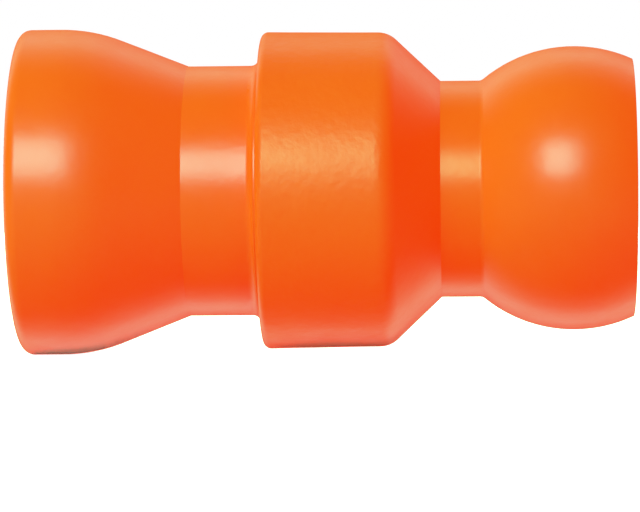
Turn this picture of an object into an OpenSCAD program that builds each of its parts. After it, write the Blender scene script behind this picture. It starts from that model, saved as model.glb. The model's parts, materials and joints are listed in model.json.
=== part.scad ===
// In-line check valve for ball-and-socket coolant hose, in millimetres.
// The flow runs along +X, from the socket to the ball.
// The origin is the centre of the socket's sphere, where the upstream ball sits.

/* [Ball and socket] */
// Diameter of the ball, and of the upstream ball that the socket takes
ball_d = 21.6; // [21.4:0.05:21.7]
// Distance from the socket's centre to the ball's centre
pitch = 38.5; // [38:0.25:42]
// Distance from the ball's centre to its flat end
ball_end = 4.5; // [4:0.05:5]
// Outside diameter of the bell around the socket
bell_d = 24.9; // [24.7:0.1:25.4]
// Distance from the socket's centre to the bell's rim
bell_mouth = 3.7; // [3.5:0.1:4]
// Slope of the bell's back down to the inlet neck, in degrees
bell_slope = 21.5; // [20:0.5:23]
// Outside diameter of the stop ring at the bottom of the socket
stop_ring_d = 14; // [13.8:0.1:14.4]

/* [Waterway] */
// Bore of the hose family
bore_d = 12.7; // [12:0.1:12.8]
// Diameter of the ball's flared opening at its flat end
flare_d = 16.8; // [16:0.1:17.2]

/* [Necks and body] */
// Outside diameter of the inlet neck
inlet_neck_d = 19.1; // [18.9:0.05:19.3]
// Outside diameter of the outlet neck
outlet_neck_d = 16.5; // [16:0.1:17]
// Outside diameter of the valve body at its open end
body_d = 24.2; // [24:0.05:24.5]
// Position of the body's open end along the flow
body_start = 14.8; // [14.6:0.05:14.95]
// Position of the edge where the body's cone starts
cone_start = 24.47; // [24.4:0.01:24.6]
// Slope of the body's cone, in degrees
cone_slope = 43.5; // [42:0.5:44.5]

/* [Valve] */
// How far the poppet lifts off its seat
lift = 2.2; // [1.6:0.1:2.4]
// Diameter of the poppet's stem
stem_d = 3; // [2.6:0.1:3.2]
// Wire diameter of the return spring
spring_wire = 0.5; // [0.4:0.05:0.5]
// Turns of the return spring, with its two flat end turns
spring_turns = 5; // [4:0.5:6]
// Number of wings that guide the poppet in the inlet bore
wing_count = 4; // [3:1:5]
// Number of legs that carry the stem guide's hub
leg_count = 4; // [3:1:5]

/* [Hidden] */
$fn = 96;

ball_r = ball_d / 2;
socket_r = ball_r + 0.02;
bell_r = bell_d / 2;
bore_r = bore_d / 2;
flare_r = flare_d / 2;
stop_ring_start = 5.3;
bell_bend = -0.55;     // where the bell's straight rim ends and its rounded back starts
gap = 0.05;            // running and assembly clearance, on each side

// Snap joint between the shells: a collar in a counterbore, then a spigot with a bead and an O-ring.
inlet_neck_r = inlet_neck_d / 2;
collar_fillet = 0.65;  // concave fillet from the inlet neck up to the collar
collar_r = inlet_neck_r + collar_fillet;
collar_start = body_start - 0.2;
collar_back = body_start + 0.5;
mouth_chamfer = 0.15;  // lead-in of the counterbore
chamber_r = collar_r - 0.2;
spigot_r = chamber_r - gap;
spigot_end = 19;
bead = [15.6, 15.7, 15.95, 16.4]; // foot, top's start, top's end, ramp's end
bead_r = spigot_r + 0.25;
ring_groove = [16.75, 18.25];
ring_groove_r = 8.95;

// Seat: a raised land on the spigot's end face.
seat_land = [6.65, 6.95];
seat = spigot_end + 0.45;

// Poppet stack, from the seat downstream.
seal_r = 7.4;
seal_back = seat + 1.2;
plate_r = 7.9;
plate_back = seal_back + 1;
stem_r = stem_d / 2;
post_r = 1.5;          // front post that carries the seal disc and the wing guide
post_start = 17;

// Stem guide: a ring on the chamber's shoulder, legs along the cone, and a hub round the stem.
shell_wall = 1.95;     // wall thickness over the cone
shoulder = 24.6;
hub_r = 2.7;
hub_start = 26.3;
hub_end = 30.2;
spring_seat = 27;
spring_seat_r = 4;

// Outside of the shells.
rim_edge_r = 0.9;      // rounding of the bell's rim
body_edge_r = 0.55;    // rounding of the body's open end
cone_edge_r = 2;       // rounding between the body and its cone
body_r = body_d / 2;
body_back_r = body_r - 0.1; // the body tapers slightly, for mould release
outlet_neck_r = outlet_neck_d / 2;
ball_blend = 0.6;      // fillet between the outlet neck and the ball

function polar(r, angle) = r * [cos(angle), sin(angle)];

// Turns a flat outline, drawn as [along the flow, radius], round the X axis.
module turned() {
    rotate([0, 90, 0])
        rotate_extrude()
            mirror([1, -1])
                children();
}

// A disc a hair larger than the straight stretches it runs into, so that their edges cross cleanly.
module disc(centre, r) {
    translate(centre)
        circle(r + 0.001);
}

// What rounds off a square corner on the low side of the flow.
module rounding(centre, r) {
    translate(centre)
        intersection() {
            circle(r);
            polygon([[0, r], [-r, r], [-r, 0]]);
        }
}

// Flat plates set round the X axis, each with an outline of [along the flow, radius] points.
module fins(count, thickness, outline) {
    for (i = [0:count - 1])
        rotate([i * 360 / count, 0, 0])
            rotate([90, 0, 0])
                linear_extrude(thickness, center = true)
                    polygon(outline);
}

// A hole along the X axis.
module hole(from, to, r) {
    translate([from, 0, 0])
        rotate([0, 90, 0])
            cylinder(h = to - from, r = r);
}

// Upstream shell: socket bell, inlet neck, and the spigot with the valve seat on its end.
module inlet_socket() {
    bell_back = [bell_bend, 0] + polar(bell_r, 90 - bell_slope);
    cone_end = bell_back[0] + (bell_back[1] - inlet_neck_r) / tan(bell_slope);
    fillet_start = collar_start - collar_fillet;
    lip_r = sqrt(pow(socket_r, 2) - pow(bell_mouth, 2)) + 0.5; // lead-in chamfer at the rim
    color("darkorange") turned() {
        difference() {
            union() {
                polygon([
                    [-bell_mouth, 0], [seat, 0], [seat, seat_land[1]],
                    [spigot_end, seat_land[1] + 0.3], [spigot_end, spigot_r - 0.3],
                    [spigot_end - 0.3, spigot_r], [ring_groove[1], spigot_r],
                    [ring_groove[1], ring_groove_r], [ring_groove[0], ring_groove_r],
                    [ring_groove[0], spigot_r], [bead[3], spigot_r], [bead[2], bead_r],
                    [bead[1], bead_r], [bead[0], spigot_r], [collar_back, spigot_r],
                    [collar_back, collar_r], [fillet_start, collar_r],
                    [fillet_start, inlet_neck_r], [cone_end, inlet_neck_r], bell_back,
                    [bell_bend, bell_r], [rim_edge_r - bell_mouth, bell_r],
                    [-bell_mouth, bell_r - rim_edge_r]
                ]);
                rounding([rim_edge_r - bell_mouth, bell_r - rim_edge_r], rim_edge_r);
                intersection() {
                    disc([bell_bend, 0], bell_r);
                    translate([bell_bend - 1.5, 0])
                        square(bell_r + 2);
                }
            }
            disc([fillet_start, collar_r], collar_fillet);
            circle(socket_r);
            polygon([
                [-bell_mouth - 1, 0], [seat + 1, 0], [seat + 1, seat_land[0]],
                [seat, seat_land[0]], [spigot_end, bore_r], [0, bore_r],
                [0, lip_r - bell_mouth], [-bell_mouth, lip_r], [-bell_mouth - 1, lip_r]
            ]);
        }
        // Ring at the bottom of the socket that stops the upstream ball at its steepest tilt.
        stop_round = (stop_ring_d / 2 - bore_r) / 2;
        translate([stop_ring_start + stop_round, bore_r + stop_round]) {
            circle(stop_round);
            translate([0, -stop_round])
                square([3.5, 2 * stop_round]);
        }
    }
}

// Downstream shell: valve body with its chamber, cone, outlet neck and ball.
module outlet_ball() {
    cone_edge = [cone_start - cone_edge_r * tan(cone_slope / 2), body_back_r - cone_edge_r];
    cone_end = cone_start + (body_back_r - outlet_neck_r) / tan(cone_slope);
    cone_inside = body_back_r - shell_wall / cos(cone_slope);
    end_face = pitch + ball_end;
    // Centre of the fillet between the neck and the ball, and its direction from the ball's centre.
    blend_y = outlet_neck_r + ball_blend;
    blend_x = pitch - sqrt(pow(ball_r + ball_blend, 2) - pow(blend_y, 2));
    blend_angle = atan2(blend_y, blend_x - pitch);
    color("orangered") turned() difference() {
        union() {
            polygon([
                [body_start, 0], [pitch, 0], [pitch, outlet_neck_r], [cone_end, outlet_neck_r],
                cone_edge + polar(cone_edge_r, 90 - cone_slope), [cone_edge[0], body_back_r],
                [body_start + body_edge_r, body_r], [body_start, body_r - body_edge_r]
            ]);
            rounding([body_start + body_edge_r, body_r - body_edge_r], body_edge_r);
            disc(cone_edge, cone_edge_r);
            intersection() {
                translate([pitch, 0])
                    circle(ball_r);
                translate([pitch - ball_r, 0])
                    square(ball_r + ball_end);
            }
            difference() {
                polygon([
                    [blend_x, blend_y], [blend_x, outlet_neck_r - 0.5],
                    [pitch, 0] + polar(ball_r - 0.5, blend_angle)
                ]);
                disc([blend_x, blend_y], ball_blend);
            }
        }
        polygon([
            [body_start - 1, 0], [end_face + 1, 0], [end_face + 1, flare_r + 0.2],
            [end_face, flare_r + 0.2], [end_face - 0.2, flare_r], [pitch - 2, flare_r - 0.45],
            [pitch - 6, bore_r], [cone_start + (cone_inside - bore_r) / tan(cone_slope), bore_r],
            [shoulder, cone_inside - (shoulder - cone_start) * tan(cone_slope)],
            [shoulder, chamber_r], [bead[3] + gap, chamber_r], [bead[2] + gap, bead_r + gap],
            [bead[1] - gap, bead_r + gap], [bead[0] - gap, chamber_r],
            [collar_back, chamber_r], [collar_back, collar_r + gap],
            [body_start + mouth_chamfer, collar_r + gap],
            [body_start, collar_r + gap + mouth_chamfer],
            [body_start - 1, collar_r + gap + mouth_chamfer]
        ]);
    }
}

// O-ring between the spigot's groove and the chamber's wall.
module joint_o_ring() {
    cord_r = (chamber_r - ring_groove_r) / 2;
    middle = (ring_groove[0] + ring_groove[1]) / 2;
    color("dimgray") turned()
        translate([middle, ring_groove_r + cord_r])
            circle(cord_r - 0.005);
}

// Basket that holds the stem's hub in the flow.
module stem_guide() {
    ring_start = shoulder - 0.9;
    ring_r = [9.2, chamber_r - 0.07];
    leg_foot = ring_r[0] + 0.1;
    leg_thickness = 1.2;
    // Outside of the legs, just clear of the shell's cone.
    cone_clear = body_back_r - (shell_wall + 0.15) / cos(cone_slope);
    knee = cone_start + 3.1;
    color("ivory") difference() {
        union() {
            turned() {
                polygon([
                    [ring_start, ring_r[0]], [shoulder, ring_r[0]], [shoulder, ring_r[1]],
                    [ring_start + 0.2, ring_r[1]], [ring_start, ring_r[1] - 0.2]
                ]);
                polygon([
                    [hub_start, 0], [hub_end, 0], [hub_end, hub_r - 0.6],
                    [hub_end - 0.4, hub_r - 0.2], [spring_seat + 2, hub_r],
                    [spring_seat + 0.7, spring_seat_r], [spring_seat, spring_seat_r],
                    [spring_seat, hub_r], [hub_start + 0.25, hub_r], [hub_start, hub_r - 0.25]
                ]);
            }
            fins(leg_count, leg_thickness, [
                [ring_start + 0.05, leg_foot], [spring_seat + 0.05, spring_seat_r + 0.1],
                [spring_seat + 0.1, hub_r - 0.4], [hub_end - 0.8, hub_r - 0.4],
                [knee, cone_clear - (knee - cone_start) * tan(cone_slope)],
                [shoulder - 0.05, cone_clear - (shoulder - 0.05 - cone_start) * tan(cone_slope)],
                [shoulder - 0.05, leg_foot]
            ]);
        }
        hole(hub_start - 1, hub_end + 1, stem_r + gap);
    }
}

// Poppet: a cup for the seal disc, a stop boss and stem behind it, and a post in front.
module poppet() {
    cup_edge = seal_back - 0.7;
    boss_r = 2.6;
    boss_end = hub_start - lift;
    rib_r = [5.95, 6.35]; // rib that centres the spring's wide end
    rib_back = plate_back + 0.45;
    stem_end = hub_end - 0.8;
    color("ivory") turned() polygon([
        [post_start, 0], [stem_end, 0], [stem_end, stem_r - 0.5], [stem_end - 0.5, stem_r],
        [boss_end, stem_r], [boss_end, boss_r - 0.2], [boss_end - 0.2, boss_r],
        [plate_back, boss_r], [plate_back, rib_r[0]], [rib_back, rib_r[0]],
        [rib_back, rib_r[1] - 0.1], [plate_back, rib_r[1]],
        [plate_back, plate_r - 0.3], [plate_back - 0.3, plate_r],
        [cup_edge + 0.2, plate_r], [cup_edge, plate_r - 0.2], [cup_edge, seal_r + gap],
        [seal_back, seal_r + gap], [seal_back, post_r],
        [post_start + 0.3, post_r], [post_start, post_r - 0.3]
    ]);
}

// Flat rubber disc that closes on the seat.
module seal_disc() {
    hole_r = post_r + gap;
    color("dimgray") turned() polygon([
        [seat, hole_r], [seal_back, hole_r], [seal_back, seal_r],
        [seat + 0.15, seal_r], [seat, seal_r - 0.15]
    ]);
}

// Nose that clamps the seal disc on the post and slides in the inlet bore on its wings.
module wing_guide() {
    nose = [14.2, 2.4]; // centre and radius of its round tip
    wing_r = bore_r - 0.1;
    wing_thickness = 1.1;
    flange_front = seat - 0.9;
    flange_r = 5.2;
    color("ivory") difference() {
        union() {
            turned() {
                polygon([
                    [nose[0] - nose[1], 0], [seat, 0], [seat, flange_r],
                    [flange_front + 0.2, flange_r], [flange_front, flange_r - 0.2],
                    [flange_front, nose[1] + 0.6], [flange_front - 0.6, nose[1]],
                    [nose[0], nose[1]]
                ]);
                rounding([nose[0], 0], nose[1]);
            }
            fins(wing_count, wing_thickness, [
                [nose[0] - 1.6, nose[1] - 0.8], [flange_front + 0.1, nose[1] - 0.8],
                [flange_front + 0.1, flange_r - 0.3], [flange_front - 0.25, wing_r],
                [nose[0] - 0.6, wing_r]
            ]);
        }
        hole(post_start - 0.1, seat + 1, post_r + 0.02);
    }
}

// Conical return spring: flat end turns, wide on the poppet and narrow on the hub.
module return_spring() {
    wide_r = 5.5;
    narrow_r = 3.3;
    flat_turns = 0.7;  // part of each end turn that lies flat
    steps = 24;        // rings to a turn
    sides = 8;         // sides of the wire
    wire_r = spring_wire / 2;
    first = plate_back + wire_r;
    last = spring_seat - wire_r;
    climb = function (turn)
        min(1, max(0, (turn - flat_turns) / (spring_turns - 2 * flat_turns)));
    rings = spring_turns * steps;
    points = [
        for (i = [0:rings], k = [0:sides - 1])
            let (
                turn = i / steps,
                x = first + (last - first) * climb(turn),
                r = wide_r + (narrow_r - wide_r) * turn / spring_turns,
                p = [x, r] + polar(wire_r, 360 * k / sides)
            )
            [p[0], p[1] * cos(360 * turn), p[1] * sin(360 * turn)]
    ];
    wall = [
        for (i = [0:rings - 1], k = [0:sides - 1])
            let (ring = i * sides, next = (k + 1) % sides)
            [ring + next, ring + k, ring + sides + k, ring + sides + next]
    ];
    ends = [
        [for (k = [0:sides - 1]) k],
        [for (k = [0:sides - 1]) rings * sides + sides - 1 - k]
    ];
    color("silver") polyhedron(points, concat(wall, ends));
}

inlet_socket();
outlet_ball();
joint_o_ring();
stem_guide();
poppet();
seal_disc();
wing_guide();
return_spring();
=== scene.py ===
"""Looks of an in-line check valve for ball-and-socket coolant hose.

Orange acetal shells, white inner parts, black seals and a steel spring, on white paper."""

import json
import math

import bpy
from mathutils import Matrix, Vector


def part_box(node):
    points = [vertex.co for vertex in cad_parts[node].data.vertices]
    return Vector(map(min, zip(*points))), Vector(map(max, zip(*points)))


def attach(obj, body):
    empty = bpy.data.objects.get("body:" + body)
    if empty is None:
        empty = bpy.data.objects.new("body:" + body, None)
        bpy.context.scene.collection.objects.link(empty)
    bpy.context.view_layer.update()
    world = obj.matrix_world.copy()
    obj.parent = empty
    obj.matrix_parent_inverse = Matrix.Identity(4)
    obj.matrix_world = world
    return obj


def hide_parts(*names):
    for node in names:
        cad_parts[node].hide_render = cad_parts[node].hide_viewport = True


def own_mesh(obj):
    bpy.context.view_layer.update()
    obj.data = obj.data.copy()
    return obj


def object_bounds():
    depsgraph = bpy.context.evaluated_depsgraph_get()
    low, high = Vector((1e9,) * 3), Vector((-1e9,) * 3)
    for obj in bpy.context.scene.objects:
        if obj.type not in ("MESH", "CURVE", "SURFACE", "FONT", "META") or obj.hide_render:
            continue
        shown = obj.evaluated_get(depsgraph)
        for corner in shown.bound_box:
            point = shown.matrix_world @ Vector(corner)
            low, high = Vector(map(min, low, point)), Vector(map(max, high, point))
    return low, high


MM = 0.001

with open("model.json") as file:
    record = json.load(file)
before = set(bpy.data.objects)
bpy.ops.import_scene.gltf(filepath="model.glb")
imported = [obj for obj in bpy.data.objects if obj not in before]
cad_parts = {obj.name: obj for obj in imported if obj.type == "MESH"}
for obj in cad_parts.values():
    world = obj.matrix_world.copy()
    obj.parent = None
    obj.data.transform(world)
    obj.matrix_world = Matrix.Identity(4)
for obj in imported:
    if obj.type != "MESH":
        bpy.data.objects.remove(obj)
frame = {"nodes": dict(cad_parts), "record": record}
cad_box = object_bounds()


# ---------------------------------------------------------------- node helpers

def new_material(name):
    """A material, its node tree and its shader."""
    material = bpy.data.materials.new(name)
    material.use_nodes = True
    tree = material.node_tree
    return material, tree, tree.nodes["Principled BSDF"]


def set_inputs(tree, node, **inputs):
    """Sets a node's inputs by name; a socket as a value links it."""
    for name, value in inputs.items():
        socket = node.inputs[name.replace("_", " ")]
        if isinstance(value, bpy.types.NodeSocket):
            tree.links.new(value, socket)
        else:
            socket.default_value = value


def add(tree, kind, **inputs):
    """A new shader node, with its inputs set."""
    node = tree.nodes.new(kind)
    set_inputs(tree, node, **inputs)
    return node


def ramp(tree, value, start, end, low=0, high=1):
    """Runs from low, where the value is at the start, to high at the end."""
    node = add(
        tree, "ShaderNodeMapRange", Value=value, From_Min=start, From_Max=end,
        To_Min=low, To_Max=high,
    )
    return node.outputs["Result"]


def noise(tree, where, size, detail=2):
    """Noise from about 0.3 to 0.7, with features of that size in metres."""
    node = add(tree, "ShaderNodeTexNoise", Vector=where, Scale=1 / size, Detail=detail)
    return node.outputs["Fac"]


def spread(tree, value, low, high):
    """Stretches noise to run from low to high."""
    return ramp(tree, value, 0.3, 0.7, low, high)


def mix(tree, factor, a, b):
    """The colour a where the factor is 0, and b where it is 1."""
    return add(tree, "ShaderNodeMixRGB", Fac=factor, Color1=a, Color2=b).outputs["Color"]


def combine(tree, operation, a, b):
    """The sum or product of two values."""
    node = tree.nodes.new("ShaderNodeMath")
    node.operation = operation
    tree.links.new(a, node.inputs[0])
    tree.links.new(b, node.inputs[1])
    return node.outputs["Value"]


def zone(tree, where, start, end, low, high):
    """The value high between two places along the flow, and low outside them, with soft ends."""
    fade = 0.4 * MM
    along = add(tree, "ShaderNodeSeparateXYZ", Vector=where).outputs["X"]
    after_start = ramp(tree, along, start - fade, start)
    before_end = ramp(tree, along, end + fade, end)
    inside = combine(tree, "MULTIPLY", after_start, before_end)
    return ramp(tree, inside, 0, 1, low, high)


def bump(tree, height, depth, **under):
    """The normal of a surface that a height map of that depth in metres dents."""
    return add(tree, "ShaderNodeBump", Height=height, Distance=depth, **under).outputs["Normal"]


# ---------------------------------------------------------------- materials

def moulded(name, light, dark, rough, subsurface, peel, grained=None, warm=None):
    """Injection-moulded acetal: two close tones, a soft orange peel and a slightly uneven gloss,
    hazier where it is seen at a shallow angle.

    The grained stretch along the flow has a fine grain, so it is rougher. The warm stretch gives a
    yellower sheen."""
    material, tree, shader = new_material(name)
    where = add(tree, "ShaderNodeTexCoord").outputs["Object"]
    tone = spread(tree, noise(tree, where, 9 * MM), 0, 1)
    gloss = spread(tree, noise(tree, where, 1.6 * MM), rough - 0.02, rough + 0.02)
    shallow = add(tree, "ShaderNodeLayerWeight").outputs["Facing"]
    haze = ramp(tree, shallow, 0.55, 0.9, high=0.35)
    gloss = combine(tree, "ADD", gloss, haze)
    soft_edge = add(tree, "ShaderNodeBevel", Radius=0.05 * MM).outputs["Normal"]
    normal = bump(tree, noise(tree, where, 0.9 * MM, 3), peel, Normal=soft_edge)
    if grained:
        gloss = combine(tree, "ADD", gloss, zone(tree, where, *grained, 0, 0.085))
        grain_depth = zone(tree, where, *grained, 0.01 * MM, 0.029 * MM)
        normal = bump(tree, noise(tree, where, 0.58 * MM), grain_depth, Normal=normal)
        plain_sheen, warm_sheen = (1, 0.93, 0.75, 1), (1, 0.95, 0.45, 1)
        sheen = mix(tree, zone(tree, where, *warm, 0, 1), plain_sheen, warm_sheen)
        set_inputs(tree, shader, Specular_Tint=sheen)
    set_inputs(
        tree, shader, Base_Color=mix(tree, tone, light, dark), Roughness=gloss, Normal=normal,
        IOR=1.48, Subsurface_Weight=subsurface, Subsurface_Radius=(1, 0.35, 0.12),
        Subsurface_Scale=0.9 * MM,
    )
    return material


def rubber(name):
    """Moulded nitrile: near black, matt, with a faint grey bloom."""
    material, tree, shader = new_material(name)
    where = add(tree, "ShaderNodeTexCoord").outputs["Object"]
    bloom = spread(tree, noise(tree, where, 1.2 * MM, 5), 0, 1)
    set_inputs(
        tree, shader, Base_Color=mix(tree, bloom, (0.012, 0.012, 0.013, 1), (0.03, 0.03, 0.032, 1)),
        Roughness=spread(tree, bloom, 0.55, 0.75),
        Normal=bump(tree, noise(tree, where, 0.12 * MM), 0.002 * MM),
    )
    return material


def drawn_wire(name):
    """Drawn stainless wire: bright, with fine die lines."""
    material, tree, shader = new_material(name)
    where = add(tree, "ShaderNodeTexCoord").outputs["Object"]
    lines = noise(tree, where, 0.08 * MM, 3)
    set_inputs(
        tree, shader, Base_Color=mix(tree, lines, (0.62, 0.61, 0.58, 1), (0.42, 0.41, 0.4, 1)),
        Roughness=spread(tree, lines, 0.2, 0.34), Metallic=1,
    )
    return material


shell_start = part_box("outlet_ball")[0].x
body_start = shell_start + 0.6 * MM
body_end = shell_start + 9.3 * MM
outlet_neck_end = shell_start + 16.5 * MM

FINISH = {
    "orange_acetal": moulded(
        "orange_acetal", light=(0.9, 0.078, 0.0034, 1), dark=(0.88, 0.07, 0.003, 1), rough=0.3,
        subsurface=0.1, peel=0.009 * MM, grained=(body_start, body_end),
        warm=(body_start, outlet_neck_end),
    ),
    "natural_acetal": moulded(
        "natural_acetal", light=(0.9, 0.91, 0.89, 1), dark=(0.86, 0.87, 0.84, 1), rough=0.38,
        subsurface=0.3, peel=0.005 * MM,
    ),
    "nitrile": rubber("nitrile"),
    "spring_steel": drawn_wire("spring_steel"),
}
for part in frame["record"]["subparts"]:
    materials = frame["nodes"][part["node"]].data.materials
    materials.clear()
    materials.append(FINISH[part["material_slot"]])


# ---------------------------------------------------------------- return spring

def helix(name, start, end, wide, narrow, wire, turns, flat):
    """A conical wire spring along +X with flat end turns, as one closed tube."""
    rings_per_turn, sides = 64, 16
    count = int(turns * rings_per_turn)
    tip, blunting = 0.72, 2  # the end ring's share of the wire, and the rings that it grows over

    def centre(i):
        turn = i / rings_per_turn
        climb = min(1, max(0, (turn - flat) / (turns - 2 * flat)))
        eased = climb * climb * (3 - 2 * climb)
        x = start + (end - start) * (0.8 * climb + 0.2 * eased)
        radius = wide + (narrow - wide) * turn / turns
        angle = 2 * math.pi * turn
        return Vector((x, radius * math.cos(angle), radius * math.sin(angle)))

    verts = []
    for i in range(count + 1):
        here = centre(i)
        along = (centre(min(i + 1, count)) - centre(max(i - 1, 0))).normalized()
        out = Vector((0, here.y, here.z)).normalized()
        out = (out - along * out.dot(along)).normalized()
        side = along.cross(out)
        taper = min(1, tip + (1 - tip) * min(i, count - i) / blunting)
        for k in range(sides):
            angle = 2 * math.pi * k / sides
            verts.append(here + (out * math.cos(angle) + side * math.sin(angle)) * wire * taper)
    faces = []
    for i in range(count):
        for k in range(sides):
            a, b = i * sides + k, i * sides + (k + 1) % sides
            faces.append((a, b, b + sides, a + sides))
    faces.append(tuple(range(sides - 1, -1, -1)))
    faces.append(tuple(count * sides + k for k in range(sides)))
    mesh = bpy.data.meshes.new(name)
    mesh.from_pydata(verts, [], faces)
    mesh.shade_smooth()
    spring = bpy.data.objects.new(name, mesh)
    bpy.context.scene.collection.objects.link(spring)
    return spring


low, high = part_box("return_spring")
wire_radius = 0.25 * MM
spring = helix(
    "coiled_spring", low.x + wire_radius, high.x - wire_radius,
    wide=high.y - wire_radius, narrow=3.3 * MM, wire=wire_radius, turns=5, flat=0.7,
)
spring.data.materials.append(FINISH["spring_steel"])
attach(spring, "housing")
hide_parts("return_spring")
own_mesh(spring)


# ---------------------------------------------------------------- floor

PAPER_WHITE = (3, 1, 1, 1)  # white after film_response
box_low, box_high = (Vector(corner) for corner in cad_box)

floor_mesh = bpy.data.meshes.new("floor")
reach = 4
corners = [(-reach, -reach), (reach, -reach), (reach, reach), (-reach, reach)]
floor_mesh.from_pydata([(x, y, box_low.z) for x, y in corners], [], [(0, 1, 2, 3)])
floor = bpy.data.objects.new("floor", floor_mesh)
bpy.context.scene.collection.objects.link(floor)
floor.visible_glossy = False

# Seen directly, the paper is evenly white; its base colour is only what it throws on the object.
paper, tree, shader = new_material("paper")
seen = add(tree, "ShaderNodeLightPath").outputs["Is Camera Ray"]
set_inputs(
    tree, shader, Base_Color=(0.9, 0.56, 0.28, 1), Roughness=0.9, Specular_IOR_Level=0,
    Emission_Color=PAPER_WHITE, Emission_Strength=seen,
)
paper.cycles.emission_sampling = "NONE"
floor_mesh.materials.append(paper)


# ---------------------------------------------------------------- lamps

middle = (box_low + box_high) / 2


def area_light(name, azimuth, elevation, distance, size, power, glossy=False):
    """A soft lamp aimed at the object, from azimuth 0 in front or 90 at the right.

    A glossy one is only reflected, and any other only lights."""
    a, e = math.radians(azimuth), math.radians(elevation)
    outward = Vector((math.sin(a) * math.cos(e), -math.cos(a) * math.cos(e), math.sin(e)))
    data = bpy.data.lights.new(name, "AREA")
    data.shape = "RECTANGLE"
    data.size, data.size_y = size
    data.energy = power
    data.cycles.use_multiple_importance_sampling = glossy
    light = bpy.data.objects.new(name, data)
    light.location = middle + distance * outward
    light.rotation_euler = (-outward).to_track_quat("-Z", "Y").to_euler()
    light.visible_glossy = glossy
    light.visible_diffuse = not glossy
    bpy.context.scene.collection.objects.link(light)


area_light("softbox", -10, 24, 0.36, size=(0.16, 0.155), power=1.13, glossy=True)
area_light("key", -40, 36, 0.6, size=(0.4, 0.4), power=9.1)
area_light("back_fill", 160, 50, 0.6, size=(0.4, 0.4), power=1.1)
area_light("back_key", 180, 20, 0.6, size=(0.4, 0.4), power=5)


# ---------------------------------------------------------------- surround

world = bpy.data.worlds.new("studio")
bpy.context.scene.world = world
world.use_nodes = True
tree = world.node_tree
direction = add(tree, "ShaderNodeTexCoord").outputs["Generated"]
axes = add(tree, "ShaderNodeSeparateXYZ", Vector=direction).outputs

# What the object reflects: a pale backdrop behind it, brighter below, and black in front.
backdrop = add(tree, "ShaderNodeValToRGB", Fac=axes["Y"])
black, edge = backdrop.color_ramp.elements
black.position, black.color = 0.1, (0, 0, 0, 1)
edge.position, edge.color = 1, (0.42, 0.36, 0.27, 1)
lightest = backdrop.color_ramp.elements.new(0.8)
lightest.color = (0.85, 0.78, 0.6, 1)
colour = backdrop.outputs["Color"]
strength = ramp(tree, axes["Z"], -0.05, 0.05, 3.2, 2.4)

# What lights it softly from all round, and what the camera sees.
path = add(tree, "ShaderNodeLightPath").outputs
for ray, ray_colour, ray_strength in (
    ("Is Diffuse Ray", (1, 1, 1, 1), 0.12),
    ("Is Camera Ray", PAPER_WHITE, 1),
):
    colour = mix(tree, path[ray], colour, ray_colour)
    strength = ramp(tree, path[ray], 0, 1, strength, ray_strength)
set_inputs(tree, tree.nodes["Background"], Color=colour, Strength=strength)


def film_response(settings, red):
    """The photograph's red stops short of white on saturated orange: only light areas reach it."""
    settings.view_transform = "Standard"
    settings.use_curve_mapping = True
    curves = settings.curve_mapping
    curves.clip_max_x = red[-1][0]
    points = curves.curves[0].points
    points[1].location = red[-1]
    for place in red[1:-1]:
        points.new(*place)
    for point in points:
        point.handle_type = "VECTOR"
    curves.update()


film_response(
    bpy.context.scene.view_settings,
    red=((0, 0), (0.8, 0.8), (1, 0.88), (1.9, 0.895), (2.6, 0.98), (3, 1)),
)


# ---------------------------------------------------------------- camera

def look(name, where, aim, lens, roll):
    """The scene's camera, with the focal length in mm and the roll in degrees."""
    data = bpy.data.cameras.new(name)
    data.lens = lens
    data.sensor_width = 36
    data.clip_start = 0.01
    camera = bpy.data.objects.new(name, data)
    turn = (aim - where).to_track_quat("-Z", "Y").to_matrix()
    turn = turn @ Matrix.Rotation(math.radians(roll), 3, "Z")
    camera.matrix_world = Matrix.Translation(where) @ turn.to_4x4()
    bpy.context.scene.collection.objects.link(camera)
    bpy.context.scene.camera = camera


look(
    "camera", where=Vector((31, -276, 1)) * MM, aim=Vector((19.1, 0, -5.05)) * MM,
    lens=203, roll=-0.5,
)
